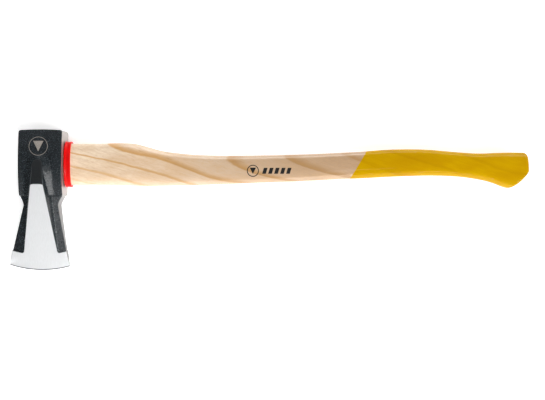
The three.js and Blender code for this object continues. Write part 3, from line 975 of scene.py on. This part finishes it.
def ash_fibres(s, waver):
    """Fibres and pores that follow the rings, long along the handle and fine across them."""
    across = s.math("MULTIPLY", ring_depth(s, waver, FIBRE_SLANT), 0.14)
    along = s.math("MULTIPLY", s.x, 0.05)
    down = s.math("MULTIPLY", s.z, 0.3)
    grain = s.node("ShaderNodeCombineXYZ", {}, X=along, Y=across, Z=down).outputs[0]
    fibre = s.noise(1.0, grain, detail=4, roughness=0.7)
    return fibre, s.band(s.noise(2.2, grain, detail=2), 0.58, 0.70)


def ash_colour(s, rings, fibre, pores, cloud):
    """Pale wood that darkens towards the knob, with rings, flecks, pores and print."""
    outward = s.band(s.math("MULTIPLY_ADD", cloud, 200, s.x), 60, 500)
    wood = s.mix(outward, WOOD_NEAR_HEAD, WOOD_NEAR_GRIP)
    amber = s.math("MULTIPLY", s.band(cloud, 0.45, 0.66), 0.4)
    wood = s.mix(amber, wood, WOOD_AMBER)
    wood = s.mix(s.math("MULTIPLY", s.band(fibre, 0.35, 0.7), 0.45), wood, WOOD_FIBRE)
    flecks = s.band(s.noise(0.4, s.stretch((0.6, 1.3, 1)), detail=4, roughness=0.7), 0.48, 0.7)
    wood = s.mix(s.math("MULTIPLY", flecks, 0.35), wood, WOOD_FLECK)
    ring_colour = s.mix(outward, RING_NEAR_HEAD, RING_NEAR_GRIP)
    wood = s.mix(s.math("MULTIPLY", rings, 0.9), wood, ring_colour)
    pore_depth = s.math("MULTIPLY_ADD", rings, 0.45, 0.25)
    wood = s.mix(s.math("MULTIPLY", pores, pore_depth), wood, WOOD_PORE)
    return s.mix(handle_print(s), wood, PRINT_COLOUR)


def dip_colour(s, rings, fibre, cloud):
    """Yellow dip that lets the grain show through."""
    yellow = s.mix(s.band(fibre, 0.3, 0.7), YELLOW_LIGHT, YELLOW_DEEP)
    stained = s.math("MULTIPLY", s.band(cloud, 0.4, 0.62), 0.5)
    yellow = s.mix(stained, yellow, YELLOW_STAIN)
    return s.mix(s.math("MULTIPLY", rings, 0.35), yellow, YELLOW_RING)


def ash_material(name, coat, coat_roughness, sheen):
    """Ash with slanting growth rings, a print and a dipped yellow grip, under a clear coat.

    The coat's weight and roughness and the sheen below it are what differ along the handle.
    """
    s = Surface(name, Coat_Weight=coat, Coat_Roughness=coat_roughness, Coat_IOR=1.45,
                Specular_IOR_Level=sheen)
    waver = ring_waver(s)
    rings = growth_rings(s, waver)
    fibre, pores = ash_fibres(s, waver)
    cloud = s.noise(0.035, s.stretch((0.5, 1.4, 1)), detail=4)
    past_dip = s.math("MULTIPLY_ADD", s.y, -DIP_SLOPE, s.math("SUBTRACT", s.x, DIP_X))
    dipped = s.band(past_dip, -0.25, 0.25)
    wood = ash_colour(s, rings, fibre, pores, cloud)
    colour = s.mix(dipped, wood, dip_colour(s, rings, fibre, cloud))
    rough = s.blend(dipped, s.math("MULTIPLY_ADD", fibre, 0.12, 0.30), 0.55)
    tint = s.mix(dipped, CLEAR_SHEEN, YELLOW_SHEEN)
    surface = s.bump(s.math("MULTIPLY_ADD", pores, -0.6, fibre), 0.012)
    return s.finish(Base_Color=colour, Roughness=rough, Specular_Tint=tint,
                    Normal=s.bump(dipped, 0.12, surface))


def beech_material():
    """End grain of the wooden wedge."""
    s = Surface("beech_end_grain", Roughness=0.7)
    fleck = s.noise(1.4, s.stretch((0.1, 1, 1.6)), detail=4)
    colour = s.ramp(fleck, (0.3, BEECH_DARK), (0.7, BEECH_LIGHT))
    return s.finish(Base_Color=colour, Normal=s.bump(fleck, 0.1))


def wedge_steel_material():
    """Dull steel with patches of scale."""
    s = Surface("wedge_steel", Metallic=0.9)
    scale = s.noise(0.7, detail=5)
    colour = s.ramp(scale, (0.35, WEDGE_DARK), (0.7, WEDGE_LIGHT))
    rough = s.math("MULTIPLY_ADD", scale, 0.3, 0.3)
    return s.finish(Base_Color=colour, Roughness=rough, Normal=s.bump(scale, 0.05))


def red_plastic_material():
    """Bright red plastic with a fine moulded grain."""
    s = Surface("moulded_red_plastic", Coat_Weight=0.08, Coat_Roughness=0.1,
                Specular_IOR_Level=0.12)
    cloud = s.noise(0.15, detail=3)
    colour = s.mix(cloud, RED_DEEP, RED_LIGHT)
    grain = s.noise(3.0, detail=2)
    rough = s.math("MULTIPLY_ADD", grain, 0.15, 0.24)
    return s.finish(Base_Color=colour, Roughness=rough, Normal=s.bump(grain, 0.02))


# ---------------------------------------------------------------- stage


def floor():
    """A pale floor that glows a little, so that it stays white under the maul."""
    level = CAD_BOX[0][2]
    mesh = bpy.data.meshes.new("floor")
    corners = [(x * FLOOR_REACH, y * FLOOR_REACH, level) for x, y in ((-1, -1), (1, -1), (1, 1), (-1, 1))]
    mesh.from_pydata(corners, [], [(0, 1, 2, 3)])
    obj = bpy.data.objects.new("floor", mesh)
    bpy.context.scene.collection.objects.link(obj)
    material = bpy.data.materials.new("pale_floor")
    material.use_nodes = True
    shader = material.node_tree.nodes["Principled BSDF"]
    shader.inputs["Base Color"].default_value = (0.95, 0.95, 0.95, 1)
    shader.inputs["Roughness"].default_value = 0.9
    shader.inputs["Specular IOR Level"].default_value = 0.1
    shader.inputs["Emission Color"].default_value = (1, 1, 1, 1)
    shader.inputs["Emission Strength"].default_value = 0.5
    mesh.materials.append(material)


def lamp(name, place, target, size, power, spread=180):
    """A rectangular lamp that faces its target, with a beam spread in degrees."""
    light = bpy.data.lights.new(name, "AREA")
    light.shape = "RECTANGLE"
    light.size, light.size_y = size
    light.energy = power
    light.spread = math.radians(spread)
    obj = bpy.data.objects.new(name, light)
    obj.location = place
    obj.rotation_euler = (Vector(target) - Vector(place)).to_track_quat("-Z", "Y").to_euler()
    bpy.context.scene.collection.objects.link(obj)


def studio():
    """Dim white surroundings and the lamps."""
    world = bpy.data.worlds.new("studio")
    world.use_nodes = True
    background = world.node_tree.nodes["Background"]
    background.inputs["Color"].default_value = (1, 1, 1, 1)
    background.inputs["Strength"].default_value = 0.15
    bpy.context.scene.world = world
    # Each lamp: name, place, target, size, watts, and its beam's spread where it isn't all round.
    lamp("upper_strip", (0.45, 1.6, 0.45), (0.1, 0, 0), (1.8, 0.6), 20)
    lamp("silver_box", (-0.64, -1.04, 1.37), (-0.3, -0.07, 0), (0.9, 0.7), 2.7)
    lamp("lower_line", (0.0, -1.6, 0.7), (0, 0, 0), (2.8, 0.08), 9)
    lamp("grip_line", (0.58, -1.45, 1.1), (0.22, 0, 0), (0.9, 0.06), 4)
    lamp("lower_strip", (0.0, -1.8, 0.3), (0, 0, 0), (3.0, 0.6), 17)
    lamp("right_key", (1.08, -0.65, 1.6), (-0.3, 0.05, 0), (0.8, 0.9), 24)
    lamp("right_pad_light", (0.13, -0.44, 1.7), (-0.3, -0.05, 0), (0.4, 0.4), 0.14, 20)
    lamp("left_fill", (-0.8, 1.2, 1.9), (-0.3, 0.05, 0), (1.2, 1.2), 2.5)


def camera():
    """Straight above the maul, looking down."""
    low, high = CAD_BOX
    data = bpy.data.cameras.new("camera")
    data.sensor_width = 36
    data.lens = data.sensor_width * CAMERA_HEIGHT / VIEW_WIDTH
    data.clip_end = 50
    obj = bpy.data.objects.new("camera", data)
    middle_x = (low[0] + high[0]) / 2
    obj.location = (middle_x + VIEW_SHIFT, EYE.y - VIEW_DROP, EYE.z + CAMERA_HEIGHT)
    bpy.context.scene.collection.objects.link(obj)
    bpy.context.scene.camera = obj
    bpy.context.scene.view_settings.view_transform = "Standard"


head()
handle()
collar()
wedges()
floor()
studio()
camera()
